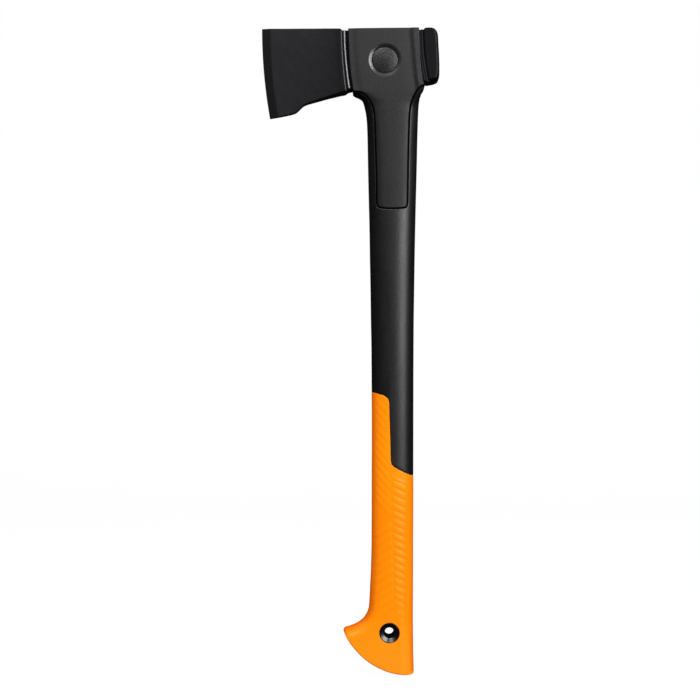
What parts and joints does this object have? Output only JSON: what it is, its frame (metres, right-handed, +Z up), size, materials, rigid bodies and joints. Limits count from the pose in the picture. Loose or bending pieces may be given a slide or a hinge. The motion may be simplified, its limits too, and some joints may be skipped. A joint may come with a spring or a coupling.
{
  "type": "splitting axe",
  "caption": "Splitting axe: forged wedge head with square poll held in a black composite shaft, side covers, orange ribbed soft grip, hooked butt with hanging hole.",
  "frame": {"origin": "centre of the hanging hole near the butt, on the tool's middle plane", "axes": "+Z up along the shaft towards the head, -X towards the cutting edge, +X towards the poll, Y across the tool's thickness along the hanging hole"},
  "size_m": [0.165, 0.034, 0.6001],
  "materials": {
    "coated_steel": "black low-friction coating on forged steel, satin, fine grain",
    "black_composite": "black glass-fibre reinforced plastic, satin",
    "grey_panel": "dark grey moulded plastic, fine matt grain",
    "grey_button": "dark grey, mottled dished face",
    "pin_steel": "plain turned steel",
    "orange_grip": "orange soft-touch elastomer, satin",
    "black_bush": "black plastic, semi-gloss"
  },
  "bodies": {
    "root": {"axe_head": "coated_steel", "handle_core": "black_composite", "side_panel_left": "grey_panel", "side_panel_right": "grey_panel", "lock_button_left": "grey_button", "lock_button_right": "grey_button", "head_lock_pin": "pin_steel", "grip": "orange_grip", "hang_hole_bush": "black_bush"}
  },
  "joints": []
}
